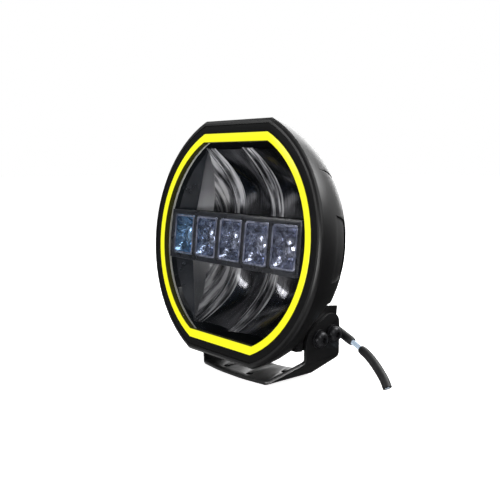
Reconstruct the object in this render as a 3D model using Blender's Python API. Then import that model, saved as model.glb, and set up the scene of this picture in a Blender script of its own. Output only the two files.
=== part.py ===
"""Nine-inch LED driving light with a halo position ring, on a swept-back steel bracket.

Metres, +Z up, the lamp faces -Y. The origin is on the underside of the bracket, in the middle of
its flat base. The lamp is modelled in its own frame, whose origin is the centre of the halo ring's
front and whose +Y runs back along the lamp. That frame hangs from the empty lamp_tilt, which stands
on the axis of the two pivot bolts and is turned back by TILT.
"""
import math

import bmesh
import bpy
from mathutils import Matrix, Vector

GAP = 0.0003
"""Between pieces that touch."""

PAST = 0.002
"""How far a cutting solid starts before the face it opens, and ends beyond it."""

# Lamp, overall
BODY_RADIUS = 0.114
FLAT_RATIO = 0.922
BOWL_CURVE = 8.07
BOWL_DEPTH = 0.062
LAMP_DEPTH = 0.094
TILT = math.radians(5.95)

# Housing: a straight rim, then the bowl with a pocket and a groove pressed into each side
WALL = 0.0046
RIM_ROUND = ((0.0, 0.0026), (0.0012, 0.0009), (0.003, 0.0))
RIM_STRAIGHT = 0.012
BOWL_STEPS = 8
ARC_STEPS = 28
FLAT_STEPS = 5
POCKET_FRONT = 0.0225
POCKET_TO_REAR = 0.006
POCKET_REAR = BOWL_DEPTH - POCKET_TO_REAR
POCKET_DEPTH = 0.0018
POCKET_LIP = 0.001
POCKET_LOW = math.radians(-13.0)
POCKET_HIGH = math.radians(15.5)
GROOVE_FRONT = 0.013
GROOVE_TIP = 0.0006
GROOVE_WIDTH = 0.0086
GROOVE_ANGLE = math.radians(34.5)
GROOVE_TWIST = math.radians(60)
GROOVE_DEPTH = 0.0008
GROOVE_DEEPENING = 0.18
GROOVE_FLOOR = 0.5
GROOVE_OVER = 0.004

# Bezel, halo and front lens
BEZEL_WIDTH = 0.0062
BEZEL_FLAT_WIDTH = 0.0066
HALO_WIDTH = 0.0064
HALO_FLAT_WIDTH = 0.0075
HALO_THICKNESS = 0.006
HALO_RADIUS = BODY_RADIUS - WALL - BEZEL_WIDTH - 2 * GAP
HALO_FLAT = BODY_RADIUS * FLAT_RATIO - WALL - BEZEL_FLAT_WIDTH - 2 * GAP
LENS_RADIUS = HALO_RADIUS - HALO_WIDTH - GAP
LENS_FLAT = HALO_FLAT - HALO_FLAT_WIDTH - GAP
BEZEL_THICKNESS = 0.007
BEZEL_SETBACK = 0.0004
LENS_THICKNESS = 0.0025
SEAL_THICKNESS = 0.002
HALO_BOARD_THICKNESS = 0.0016
HALO_BOARD_INSET = 0.0012

# Optic bar: five rectangular lenses in a black frame
CELLS = 5
CELL_HEIGHT = 0.0365
CELL_RIB = 0.0045
CELL_DEPTH = 0.016
CELL_SETBACK = 0.0006
CELL_PROFILE = ((0.0, 0.84), (0.0008, 0.95), (0.0020, 1.0), (0.0050, 1.0), (CELL_DEPTH, 0.34))
BAR_MARGIN = 0.0048
BAR_SETBACK = 0.0007
BAR_DEPTH = 0.021
BAR_TO_LENS_EDGE = 0.0043
BAR_HALF_HEIGHT = CELL_HEIGHT / 2 + BAR_MARGIN
BAR_HALF_WIDTH = math.sqrt(LENS_RADIUS ** 2 - BAR_HALF_HEIGHT ** 2) - BAR_TO_LENS_EDGE
CELL_WIDTH = (2 * (BAR_HALF_WIDTH - BAR_MARGIN) - (CELLS - 1) * CELL_RIB) / CELLS
BOARD_THICKNESS = 0.0016
CHIP_SIZE = 0.007
CHIP_THICKNESS = 0.0015

# Heat bar that carries the LED boards
HEAT_BAR_WIDTH = 0.124
HEAT_BAR_HEIGHT = 0.022
SIDE_BOARD_WIDTH = 0.100
SIDE_BOARD_SETBACK = 0.002
SIDE_BOARD_TO_REAR = 0.004

# Reflectors above and below the bar: two half bowls each, over the emitters
BOWL_WIDTH = 0.053
BOWL_REACH = 0.066
BOWL_FLARE = 1.6
REFLECTOR_FRONT = 0.0095
REFLECTOR_SKIN = 0.003
REFLECTOR_TO_SINK = 0.006
REFLECTOR_REAR = BOWL_DEPTH - REFLECTOR_TO_SINK
REFLECTOR_EDGE = 0.0040
REFLECTOR_TO_BAR_END = 0.0028
REFLECTOR_COLUMNS = 20
REFLECTOR_ROWS = 10
BOWL_BORDER = 0.0005
FOCUS_DEPTH = 0.036

# Heat sink
SINK_PLATE = 0.0055
FIN_THICKNESS = 0.0026
FIN_PITCH = 0.0095
FIN_INSET = 0.0015
FIN_ROOT = 0.001
FIN_LEAST = 0.004
FIN_STEPS = 5
PLATE_INSET = 0.0006
SINK_SCREW_RADIUS = 0.002
SINK_SCREW_HEAD = 0.0036
SINK_SCREW_COUNT = 4
SINK_SCREW_INSET = 0.01012
SCREW_PAD_RADIUS = SINK_SCREW_HEAD + 0.0016
SCREW_HEAD_HEIGHT = 0.0036
SCREW_EDGE = 0.0006
SCREW_CROWN = 0.0008
SCREW_SOCKET = 0.0018
VENT_RADIUS = 0.006
VENT_LENGTH = 0.0052
VENT_EDGE = 0.0012
VENT_HEIGHT = 0.024
VENT_SPACE = 0.008
DRIVER_WIDTH = 0.080
DRIVER_HEIGHT = 0.030
DRIVER_THICKNESS = 0.0017
DRIVER_BELOW_BAR = 0.004

# Tilt pivot, in the lamp's own frame, and the lock bolt's place from it in the bracket's frame
PIVOT_BACK = 0.0502
PIVOT_ABOVE_FLAT = 0.0285
PIVOT_DROP = BODY_RADIUS * FLAT_RATIO - PIVOT_ABOVE_FLAT
LOCK_BACK = 0.0167
LOCK_RISE = 0.0020
TILT_RANGE = math.radians(12)

# Bracket
PLATE = 0.003
ARM_OUTER = 0.073
BASE_HALF = 0.0445
BASE_FRONT = -0.0245
BASE_BOW = 0.0045
BASE_REAR = 0.0220
BASE_REAR_FLARE = 0.0110
KNEE_HEIGHT = 0.0217
BEND_RADIUS = 0.008
ARM_FRONT = -0.001
ARM_REAR = 0.0395
ARM_TOP = 0.0607
PIVOT_Y = 0.014
PIVOT_Z = 0.0408
BASE_HOLE_RADIUS = 0.0053
BASE_HOLE_Y = 0.013
SIDE_HOLE_RADIUS = 0.0032
SIDE_HOLE_X = 0.032
FRONT_HOLE_X = 0.016
FRONT_HOLE_Y = -0.0147
PATH_BEFORE_HOLE = 0.0045
PATH_BEYOND_HOLE = 0.0055
SHOULDER_BELOW_PIVOT = 0.001
SHOULDER_CORNER = 0.012
HEAD_FRONT = 0.0115
HEAD_CORNER = 0.009
SLOT_SPARE = math.radians(1.0)

# M8 button-head bolts and their washers
BOLT_RADIUS = 0.004
BOLT_HEAD_RADIUS = 0.007
BOLT_HEAD_HEIGHT = 0.0044
BOLT_REACH = 0.010
BOLT_TIP_ROOM = 0.0006
BOLT_CHAMFER = 0.0006
BOLT_HOLE_LENGTH = 0.020
HEAD_RIM = 0.0008
HEAD_DOME = math.radians(64)
HEAD_CROWN = 0.52
HEX_RADIUS = 0.0029
HEX_DEPTH = 0.0024
WASHER_RADIUS = 0.0082
WASHER_THICKNESS = 0.0016
LUG_THICKNESS = 0.012
LUG_BELOW_PIVOT = 0.0096
LUG_BEFORE_PIVOT = 0.0262
LUG_BEHIND_LOCK = 0.0069
LUG_CORNER = 0.0082
LUG_CORNER_REACH = 0.01312
LUG_TOP = -PIVOT_DROP + 0.0276
RELIEF_FRONT = RIM_STRAIGHT + WALL + 0.0009
RELIEF_SLOPE = 0.0165
RELIEF_LIFT = 0.0185
RELIEF_FRONT_TOP = -PIVOT_DROP + 0.0191
RELIEF_TOP = -PIVOT_DROP + 0.0286
RELIEF_RISE = 0.3
RELIEF_FAR = BODY_RADIUS * 1.3

# Cable: gland, two sleeves and the core bared between them
ENTRY_X = 0.016
ENTRY_Z = -PIVOT_DROP + 0.0086
ENTRY_HALF = 0.0105
ENTRY_ROOT = 0.002
ENTRY_REAR_TRIM = 0.002
ENTRY_BEHIND_ARM = 0.0121
ENTRY_Y = PIVOT_BACK + ARM_REAR - PIVOT_Y + ENTRY_BEHIND_ARM
GLAND_RADIUS = 0.0085
GLAND_LENGTH = 0.009
GLAND_NUT_RADIUS = 0.0078
GLAND_NUT_LENGTH = 0.011
GLAND_NUT_DOME = 0.004
GLAND_NUT_MOUTH = 0.005
SLEEVE_RADIUS = 0.0040
CORE_RADIUS = 0.0023

SIDES = (("left", -1), ("right", 1))


# ---------------------------------------------------------------- scene and objects

def clear_scene():
    for item in list(bpy.data.objects):
        bpy.data.objects.remove(item, do_unlink=True)


def make_material(name, colour, roughness, metallic=0.0):
    material = bpy.data.materials.new(name)
    material.use_nodes = True
    shader = material.node_tree.nodes["Principled BSDF"]
    shader.inputs["Base Color"].default_value = (*colour, 1.0)
    shader.inputs["Roughness"].default_value = roughness
    shader.inputs["Metallic"].default_value = metallic
    return material


def add_object(name, bm, material, parent=None):
    """Turns a bmesh into a named object with its own copy of the material, faces pointing out."""
    bmesh.ops.recalc_face_normals(bm, faces=bm.faces)
    mesh = bpy.data.meshes.new(name)
    bm.to_mesh(mesh)
    bm.free()
    mesh.shade_smooth()
    mesh.set_sharp_from_angle(angle=math.radians(32))
    item = bpy.data.objects.new(name, mesh)
    bpy.context.collection.objects.link(item)
    if material:
        own = material.copy()
        own.name = name
        mesh.materials.append(own)
    item.parent = parent
    return item


def add_lamp_object(name, bm, material):
    """An object of the lamp, drawn in the lamp's own frame and hung from the tilt axis."""
    item = add_object(name, bm, material, bpy.data.objects["lamp_tilt"])
    item.location = (0, -PIVOT_BACK, PIVOT_DROP)
    return item


def add_tool(bm, target, operation):
    """Cuts or joins target with a hidden guide solid that stands in target's own frame."""
    tool = add_object(target.name + "_guide", bm, None, target.parent)
    tool.location = target.location
    tool.hide_render = True
    tool.display_type = "WIRE"
    modifier = target.modifiers.new(operation.lower(), "BOOLEAN")
    modifier.operation = operation
    modifier.object = tool
    return tool


def cut(target, bm):
    return add_tool(bm, target, "DIFFERENCE")


def join(target, bm):
    return add_tool(bm, target, "UNION")


# ---------------------------------------------------------------- shapes

def loft(rings, bm=None):
    """A closed solid through rings of equal length, with a flat cap at each end."""
    bm = bm or bmesh.new()
    loops = [[bm.verts.new(point) for point in ring] for ring in rings]
    count = len(loops[0])
    for near, far in zip(loops, loops[1:]):
        for i in range(count):
            j = (i + 1) % count
            bm.faces.new((near[i], near[j], far[j], far[i]))
    bm.faces.new(loops[0][::-1])
    bm.faces.new(loops[-1])
    return bm


def ring_solid(outer, inner, bm=None):
    """A closed ring through stacked outer and inner rings, front to rear."""
    bm = bm or bmesh.new()
    loops = [[bm.verts.new(point) for point in ring] for ring in outer + inner[::-1]]
    count = len(loops[0])
    for near, far in zip(loops, loops[1:] + loops[:1]):
        for i in range(count):
            j = (i + 1) % count
            bm.faces.new((near[i], near[j], far[j], far[i]))
    return bm


def box(low, high, bm=None):
    bm = bm or bmesh.new()
    low, high = Vector(low), Vector(high)
    size = high - low
    matrix = Matrix.Translation((low + high) / 2) @ Matrix.Diagonal((*size, 1.0))
    bmesh.ops.create_cube(bm, size=1.0, matrix=matrix)
    return bm


def circle(centre, axis, radius, segments):
    """Points round a circle about the X, Y or Z axis through centre."""
    points = []
    for i in range(segments):
        angle = 2 * math.pi * i / segments
        a, b = radius * math.cos(angle), radius * math.sin(angle)
        offset = {"X": (0, a, b), "Y": (b, 0, a), "Z": (a, b, 0)}[axis]
        points.append(Vector(centre) + Vector(offset))
    return points


def turned(start, axis, profile, segments=32):
    """A solid turned about an axis through start; profile lists (distance along it, radius)."""
    step = {"X": Vector((1, 0, 0)), "Y": Vector((0, 1, 0)), "Z": Vector((0, 0, 1))}[axis]
    return loft([circle(Vector(start) + step * along, axis, radius, segments) for along, radius in profile])


def washer_solid(start, axis, outer, inner, thickness, segments=32):
    step = {"X": Vector((1, 0, 0)), "Y": Vector((0, 1, 0)), "Z": Vector((0, 0, 1))}[axis]
    ends = [Vector(start), Vector(start) + step * thickness]
    return ring_solid(
        [circle(end, axis, outer, segments) for end in ends],
        [circle(end, axis, inner, segments) for end in ends],
    )


def outline(radius, flat, y):
    """The lamp's outline at depth y: a circle cut flat at the top and the bottom."""
    corner = math.asin(flat / radius)
    half = math.sqrt(radius * radius - flat * flat)
    points = []
    for side in (1, -1):
        for i in range(ARC_STEPS + 1):
            angle = -corner + 2 * corner * i / ARC_STEPS
            points.append(Vector((side * radius * math.cos(angle), y, side * radius * math.sin(angle))))
        for i in range(1, FLAT_STEPS):
            x = side * half * (1 - 2 * i / FLAT_STEPS)
            points.append(Vector((x, y, side * flat)))
    return points


def bowl_radius(y):
    """The housing's outer radius at depth y: a bowl that closes as the square of the depth."""
    return BODY_RADIUS - BOWL_CURVE * y * y


def bowl_outline(y, inset=0.0):
    radius = bowl_radius(y)
    return outline(radius - inset, radius * FLAT_RATIO - inset, y)


def bowl_levels():
    """Depths from the end of the straight rim to the back of the bowl."""
    return [RIM_STRAIGHT + (BOWL_DEPTH - RIM_STRAIGHT) * i / BOWL_STEPS for i in range(BOWL_STEPS + 1)]


# ---------------------------------------------------------------- lamp: shells and rings

def side_relief(side, grow=0.0):
    """The space beside the lamp that the bracket's arm tilts through: a flat face under a ledge."""
    face = ARM_OUTER - PLATE - GAP - grow
    far = RELIEF_FAR
    low = -RELIEF_FAR
    rings = []
    for y, lift, ledge in (
        (RELIEF_FRONT, RELIEF_LIFT, RELIEF_FRONT_TOP),
        (RELIEF_FRONT + RELIEF_SLOPE, 0.0, RELIEF_TOP),
        (LAMP_DEPTH + BODY_RADIUS, 0.0, RELIEF_TOP),
    ):
        x = face + lift
        top = ledge + grow
        profile = ((x, low), (x, top), (far, top + (far - x) * RELIEF_RISE), (far, low))
        rings.append([Vector((side * px, y - grow, pz)) for px, pz in profile])
    return loft(rings)


def side_pocket(side):
    """The shallow panel pressed into each side of the bowl."""
    rings = []
    far = RELIEF_FAR
    low, high = POCKET_LOW, POCKET_HIGH
    step_end = POCKET_FRONT + POCKET_LIP
    depths = [(POCKET_FRONT, POCKET_DEPTH / 3)]
    depths += [(step_end + (POCKET_REAR - step_end) * i / 5, POCKET_DEPTH) for i in range(6)]
    for y, depth in depths:
        radius = bowl_radius(y) - depth
        inner = [low + (high - low) * i / 8 for i in range(9)]
        ring = [Vector((side * radius * math.cos(a), y, radius * math.sin(a))) for a in inner]
        ring.append(Vector((side * far, y, radius * math.sin(high))))
        ring.append(Vector((side * far, y, radius * math.sin(low))))
        rings.append(ring)
    return loft(rings)


def side_groove(side):
    """The slanted groove above each pocket: a point at the front that widens to the rear."""
    rings = []
    for i in range(7):
        share = i / 6
        y = GROOVE_FRONT + (POCKET_REAR - GROOVE_FRONT) * share
        width = GROOVE_TIP + (GROOVE_WIDTH - GROOVE_TIP) * share
        centre = GROOVE_ANGLE + GROOVE_TWIST * (y - GROOVE_FRONT)
        radius = bowl_radius(y)
        half = width / 2 / radius
        deep = radius - GROOVE_DEPTH - width * GROOVE_DEEPENING
        high = radius + GROOVE_OVER
        corners = (
            (deep, centre - half * GROOVE_FLOOR),
            (high, centre - half),
            (high, centre + half),
            (deep, centre + half * GROOVE_FLOOR),
        )
        rings.append([Vector((side * r * math.cos(a), y, r * math.sin(a))) for r, a in corners])
    return loft(rings)


def make_housing(paint):
    """The cast bowl: rim at the front, open at the rear, with a lug for the bracket on each side."""
    outside = [bowl_outline(y, inset) for y, inset in RIM_ROUND] + [bowl_outline(y) for y in bowl_levels()]
    housing = add_lamp_object("housing", loft(outside), paint)
    for name, side in SIDES:
        inner = side * (ARM_OUTER - PLATE - LUG_THICKNESS)
        outer = side * ARM_OUTER
        front = PIVOT_BACK - LUG_BEFORE_PIVOT
        rear = lock_place()[0] + LUG_BEHIND_LOCK
        bottom = -PIVOT_DROP - LUG_BELOW_PIVOT
        profile = (
            (front, bottom),
            (rear - LUG_CORNER_REACH, bottom),
            (rear, bottom + LUG_CORNER),
            (rear, LUG_TOP),
            (front, LUG_TOP),
        )
        join(housing, loft([[Vector((x, y, z)) for y, z in profile] for x in (inner, outer)]))
    cavity = [outline(BODY_RADIUS - WALL, BODY_RADIUS * FLAT_RATIO - WALL, y) for y in (-PAST, RIM_STRAIGHT)]
    cavity += [bowl_outline(y, WALL) for y in bowl_levels()[1:] + [BOWL_DEPTH + PAST]]
    hollow = cut(housing, loft(cavity))
    for name, side in SIDES:
        cut(hollow, side_relief(side, WALL))
    seat = bowl_radius(BOWL_DEPTH) + GAP
    cut(housing, loft([outline(seat, seat * FLAT_RATIO, y) for y in (BOWL_DEPTH, LAMP_DEPTH)]))
    for name, side in SIDES:
        cut(housing, side_relief(side))
        cut(housing, side_pocket(side))
        cut(housing, side_groove(side))
        for back, drop in (pivot_place(), lock_place()):
            start = side * (ARM_OUTER - PLATE - BOLT_REACH - BOLT_TIP_ROOM)
            hole = BOLT_RADIUS + GAP
            cut(housing, turned((start, back, drop), "X", ((0, hole), (side * BOLT_HOLE_LENGTH, hole)), 24))
    return housing


def pivot_place():
    """The pivot's depth and height in the lamp's frame."""
    return PIVOT_BACK, -PIVOT_DROP


def lock_place():
    """The lock bolt's depth and height in the lamp's frame, turned back with the lamp."""
    c, s = math.cos(TILT), math.sin(TILT)
    return PIVOT_BACK + LOCK_BACK * c - LOCK_RISE * s, -PIVOT_DROP + LOCK_BACK * s + LOCK_RISE * c


def halo_outlines(grow, y):
    """The halo's outer outline, grown by a clearance."""
    return outline(HALO_RADIUS + grow, HALO_FLAT + grow, y)


def halo_inner(shrink, y):
    return outline(HALO_RADIUS - HALO_WIDTH - shrink, HALO_FLAT - HALO_FLAT_WIDTH - shrink, y)


def make_front(paint, rubber, amber, clear, board):
    """Bezel, halo light guide with its board, front lens and the lens seal."""
    bezel_outer = BODY_RADIUS - WALL - GAP
    bezel_flat = BODY_RADIUS * FLAT_RATIO - WALL - GAP
    deep = BEZEL_THICKNESS
    ys = (BEZEL_SETBACK, deep)
    add_lamp_object("bezel", ring_solid(
        [outline(bezel_outer, bezel_flat, y) for y in ys],
        [halo_outlines(GAP, y) for y in ys],
    ), paint)
    ys = (0.0, HALO_THICKNESS)
    add_lamp_object("halo_light_guide", ring_solid(
        [halo_outlines(0, y) for y in ys],
        [halo_inner(0, y) for y in ys],
    ), amber)
    ys = (deep + GAP, deep + GAP + HALO_BOARD_THICKNESS)
    add_lamp_object("halo_led_board", ring_solid(
        [halo_outlines(0, y) for y in ys],
        [halo_inner(-HALO_BOARD_INSET, y) for y in ys],
    ), board)
    ys = (GAP, LENS_THICKNESS)
    add_lamp_object("front_lens", loft([outline(LENS_RADIUS, LENS_FLAT, y) for y in ys]), clear)
    ys = (deep + GAP, deep + GAP + SEAL_THICKNESS)
    add_lamp_object("lens_seal", ring_solid(
        [outline(bezel_outer - GAP, bezel_flat - GAP, y) for y in ys],
        [halo_outlines(GAP, y) for y in ys],
    ), rubber)


# ---------------------------------------------------------------- lamp: optics and electronics

def cell_centres():
    pitch = CELL_WIDTH + CELL_RIB
    return [(i - (CELLS - 1) / 2) * pitch for i in range(CELLS)]


def make_optic_bar(black, clear, board, chip, alloy):
    """The frame with five windows, a lens in each, and the board with one emitter behind each lens."""
    half_x, half_z = BAR_HALF_WIDTH, BAR_HALF_HEIGHT
    front = LENS_THICKNESS + BAR_SETBACK
    rear = front + BAR_DEPTH
    frame = add_lamp_object("optic_bar_frame", box((-half_x, front, -half_z), (half_x, rear, half_z)), black)
    for x in cell_centres():
        low = (x - CELL_WIDTH / 2 - GAP, front - PAST, -CELL_HEIGHT / 2 - GAP)
        high = (x + CELL_WIDTH / 2 + GAP, rear + PAST, CELL_HEIGHT / 2 + GAP)
        cut(frame, box(low, high))
    for number, x in enumerate(cell_centres(), 1):
        add_lamp_object(f"optic_lens_{number}", lens_cell(x, front + CELL_SETBACK), clear)
    board_front = rear + GAP
    board_rear = board_front + BOARD_THICKNESS
    low, high = (-half_x, board_front, -half_z), (half_x, board_rear, half_z)
    add_lamp_object("main_led_board", box(low, high), board)
    chip_rear = board_front - GAP
    for number, x in enumerate(cell_centres(), 1):
        half = CHIP_SIZE / 2
        low = (x - half, chip_rear - CHIP_THICKNESS, -half)
        add_lamp_object(f"main_led_{number}", box(low, (x + half, chip_rear, half)), chip)
    core_front = board_rear + GAP
    core_rear = BOWL_DEPTH - GAP
    core_x, core_z = HEAT_BAR_WIDTH / 2, HEAT_BAR_HEIGHT / 2
    add_lamp_object("heat_bar", box((-core_x, core_front, -core_z), (core_x, core_rear, core_z)), alloy)
    for name, up in (("upper", 1), ("lower", -1)):
        side_board = up * (core_z + GAP), up * (core_z + GAP + BOARD_THICKNESS)
        low_z, high_z = min(side_board), max(side_board)
        add_lamp_object(f"{name}_led_board", box(
            (-SIDE_BOARD_WIDTH / 2, core_front + SIDE_BOARD_SETBACK, low_z),
            (SIDE_BOARD_WIDTH / 2, REFLECTOR_REAR - SIDE_BOARD_TO_REAR, high_z)), board)
        chip_low = up * (core_z + BOARD_THICKNESS + 2 * GAP)
        chip_high = chip_low + up * CHIP_THICKNESS
        for place, x in (("left", -BOWL_WIDTH / 2), ("right", BOWL_WIDTH / 2)):
            half = CHIP_SIZE / 2
            low = (x - half, FOCUS_DEPTH - half, min(chip_low, chip_high))
            high = (x + half, FOCUS_DEPTH + half, max(chip_low, chip_high))
            add_lamp_object(f"{name}_led_{place}", box(low, high), chip)


def lens_cell(x, front):
    """A clear block with a crowned front that narrows towards its emitter."""
    half_x, half_z = CELL_WIDTH / 2, CELL_HEIGHT / 2
    rings = []
    for depth, share in CELL_PROFILE:
        ring = []
        for a, b in ((-1, -1), (1, -1), (1, 1), (-1, 1)):
            ring.append(Vector((x + a * half_x * share, front + depth, b * half_z * share)))
        rings.append(ring)
    return loft(rings)


def reflector_depth(x, height):
    """How far back the mirror surface lies at x, and at a height over the emitter's plane."""
    centre = math.copysign(BOWL_WIDTH / 2, x)
    across = (x - centre) / BOWL_REACH
    up = height / BOWL_REACH
    deepest = REFLECTOR_REAR - REFLECTOR_SKIN
    return deepest - (deepest - REFLECTOR_FRONT) * (across * across * BOWL_FLARE + up * up)


def make_reflector(name, up, chrome):
    """A block with two half-parabola bowls side by side; the bar hides the emitters at their foot."""
    foot = BAR_HALF_HEIGHT + GAP
    inner = LENS_FLAT - REFLECTOR_EDGE
    columns = REFLECTOR_COLUMNS
    rows = REFLECTOR_ROWS
    reach_x = BOWL_WIDTH + BOWL_BORDER
    bm = bmesh.new()
    front, back = [], []
    for r in range(rows + 1):
        z = foot + (inner - foot) * r / rows
        round_half = math.sqrt((LENS_RADIUS - REFLECTOR_EDGE) ** 2 - z * z)
        half = min(round_half, BAR_HALF_WIDTH - REFLECTOR_TO_BAR_END)
        front_row, back_row = [], []
        for c in range(columns + 1):
            x = half * (2 * c / columns - 1)
            inside = abs(x) <= reach_x
            depth = reflector_depth(x, z - foot) if inside else REFLECTOR_FRONT
            depth = max(depth, REFLECTOR_FRONT)
            front_row.append(bm.verts.new((x, depth, up * z)))
            back_row.append(bm.verts.new((x, depth + REFLECTOR_SKIN, up * z)))
        front.append(front_row)
        back.append(back_row)
    for r in range(rows):
        for c in range(columns):
            bm.faces.new((front[r][c], front[r][c + 1], front[r + 1][c + 1], front[r + 1][c]))
            bm.faces.new((back[r][c], back[r + 1][c], back[r + 1][c + 1], back[r][c + 1]))
    for c in range(columns):
        bm.faces.new((front[0][c], back[0][c], back[0][c + 1], front[0][c + 1]))
        bm.faces.new((front[rows][c], front[rows][c + 1], back[rows][c + 1], back[rows][c]))
    for r in range(rows):
        bm.faces.new((front[r][0], front[r + 1][0], back[r + 1][0], back[r][0]))
        bm.faces.new((front[r][columns], back[r][columns], back[r + 1][columns], front[r + 1][columns]))
    add_lamp_object(name, bm, chrome)


# ---------------------------------------------------------------- lamp: heat sink

def sink_screw_places():
    """Screws stand in a rectangle near the edge of the heat sink's plate."""
    reach = bowl_radius(BOWL_DEPTH) - SINK_SCREW_INSET
    places = []
    for quarter in range(SINK_SCREW_COUNT):
        angle = math.radians(45) + quarter * 2 * math.pi / SINK_SCREW_COUNT
        places.append((reach * math.cos(angle), reach * math.sin(angle)))
    return places


def fin_profile(x):
    """A fin's side view at x: its rear edge follows the bowl's curve onwards."""
    points = []
    y = BOWL_DEPTH + SINK_PLATE - FIN_ROOT
    for i in range(FIN_STEPS + 1):
        depth = y + (LAMP_DEPTH - y) * i / FIN_STEPS
        radius = bowl_radius(depth) - FIN_INSET
        if radius <= abs(x) + FIN_LEAST:
            break
        points.append((depth, min(math.sqrt(radius * radius - x * x), radius * FLAT_RATIO)))
    return points


def make_heat_sink(alloy, screw_steel, rubber, board):
    """The finned rear casting, its screws, the breather vent and the driver board behind it."""
    plate_front = BOWL_DEPTH + GAP
    plate_rear = BOWL_DEPTH + SINK_PLATE
    plate = [bowl_outline(y, PLATE_INSET) for y in (plate_front, plate_rear)]
    sink = add_lamp_object("heat_sink", loft(plate), alloy)
    count = int(bowl_radius(plate_rear) / FIN_PITCH)
    for k in range(-count, count + 1):
        x = k * FIN_PITCH
        heights = fin_profile(x)
        if len(heights) < 2:
            continue
        edge = [(y, h) for y, h in heights] + [(y, -h) for y, h in reversed(heights)]
        half = FIN_THICKNESS / 2
        join(sink, loft([[Vector((x + s, y, z)) for y, z in edge] for s in (-half, half)]))
    low = (-ENTRY_X, plate_front + ENTRY_ROOT, ENTRY_Z - ENTRY_HALF)
    high = (ENTRY_X, ENTRY_Y + ENTRY_HALF - ENTRY_REAR_TRIM, ENTRY_Z + ENTRY_HALF)
    behind = LAMP_DEPTH + PAST
    cut(sink, box((ENTRY_X, plate_rear, -BODY_RADIUS), (BODY_RADIUS, behind, high[2] - FIN_ROOT)))
    join(sink, box(low, high))
    cut(sink, box(
        (-VENT_SPACE, plate_rear - FIN_ROOT, VENT_HEIGHT - VENT_SPACE),
        (VENT_SPACE, behind, VENT_HEIGHT + VENT_SPACE)))
    for name, side in SIDES:
        cut(sink, side_relief(side))
    for x, z in sink_screw_places():
        pad = ((0, SCREW_PAD_RADIUS), (behind - plate_rear, SCREW_PAD_RADIUS))
        cut(sink, turned((x, plate_rear, z), "Y", pad, 20))
        hole = SINK_SCREW_RADIUS + GAP
        cut(sink, turned((x, plate_front - PAST, z), "Y", ((0, hole), (SINK_PLATE + 2 * PAST, hole)), 16))
    for number, (x, z) in enumerate(sink_screw_places(), 1):
        start = plate_rear + GAP
        shank = plate_front + SCREW_CROWN
        top = start + SCREW_HEAD_HEIGHT
        profile = (
            (shank, SINK_SCREW_RADIUS),
            (start, SINK_SCREW_RADIUS),
            (start, SINK_SCREW_HEAD),
            (top - SCREW_EDGE, SINK_SCREW_HEAD),
            (top, SINK_SCREW_HEAD - SCREW_CROWN),
        )
        screw = add_lamp_object(f"sink_screw_{number}", turned((x, 0, z), "Y", profile, 20), screw_steel)
        socket = ((-SCREW_SOCKET, SCREW_SOCKET), (PAST, SCREW_SOCKET))
        cut(screw, turned((x, top, z), "Y", socket, 6))
    vent_start = plate_rear + GAP
    add_lamp_object("breather_vent", turned((0, vent_start, VENT_HEIGHT), "Y", (
        (0, VENT_RADIUS),
        (VENT_LENGTH - VENT_EDGE, VENT_RADIUS),
        (VENT_LENGTH, VENT_RADIUS - VENT_EDGE),
    ), 24), rubber)
    half_x = DRIVER_WIDTH / 2
    rear = BOWL_DEPTH - GAP
    top = -BAR_HALF_HEIGHT - DRIVER_BELOW_BAR
    add_lamp_object("driver_board", box(
        (-half_x, rear - DRIVER_THICKNESS, top - DRIVER_HEIGHT), (half_x, rear, top)), board)


# ---------------------------------------------------------------- bracket and bolts

def bracket_path():
    """Half of the bracket's outer line in XZ: (x, z, outward normal x, outward normal z)."""
    corners = [
        Vector((0, 0)),
        Vector((BASE_HALF, 0)),
        Vector((ARM_OUTER, KNEE_HEIGHT)),
        Vector((ARM_OUTER, ARM_TOP)),
    ]
    stations = (FRONT_HOLE_X - PATH_BEFORE_HOLE, FRONT_HOLE_X + PATH_BEYOND_HOLE)
    path = [(x, 0.0, 0.0, -1.0) for x in stations]
    for before, corner, after in zip(corners, corners[1:], corners[2:]):
        start_way = (corner - before).normalized()
        end_way = (after - corner).normalized()
        turn = start_way.angle(end_way)
        inset = BEND_RADIUS * math.tan(turn / 2)
        start = corner - start_way * inset
        centre = start + Vector((-start_way.y, start_way.x)) * BEND_RADIUS
        first = math.atan2(start.y - centre.y, start.x - centre.x)
        steps = 6
        for i in range(steps + 1):
            angle = first + turn * i / steps
            way = (math.cos(angle), math.sin(angle))
            path.append((centre.x + BEND_RADIUS * way[0], centre.y + BEND_RADIUS * way[1], *way))
    return path


def edge_at(x, z):
    """The front and rear edge of the plate where the path passes (x, z)."""
    if z < GAP:
        share = x / BASE_HALF
        return BASE_FRONT + BASE_BOW * share * share, BASE_REAR + BASE_REAR_FLARE * share * share
    share = min(z / KNEE_HEIGHT, 1.0)
    front = BASE_FRONT + BASE_BOW
    rear = BASE_REAR + BASE_REAR_FLARE
    return front + (ARM_FRONT - front) * share, rear + (ARM_REAR - rear) * share


def arm_head():
    """The rounded, slanted top of an arm: (height, front edge, rear edge)."""
    shoulder = PIVOT_Z - SHOULDER_BELOW_PIVOT
    rows = [(shoulder, ARM_FRONT, ARM_REAR)]
    corner = SHOULDER_CORNER
    for i in range(1, 5):
        angle = math.radians(16 * i)
        front = ARM_FRONT + corner * (1 - math.cos(angle))
        rows.append((shoulder + corner * math.sin(angle), front, ARM_REAR))
    top_front = PIVOT_Y + HEAD_FRONT
    last = rows[-1]
    for i in range(1, 6):
        angle = math.radians(18 * i)
        z = ARM_TOP - HEAD_CORNER + HEAD_CORNER * math.sin(angle)
        if z <= last[0]:
            continue
        share = (z - last[0]) / (ARM_TOP - last[0])
        front = last[1] + (top_front - last[1]) * share
        rows.append((z, front, ARM_REAR - HEAD_CORNER * (1 - math.cos(angle))))
    return rows


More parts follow.
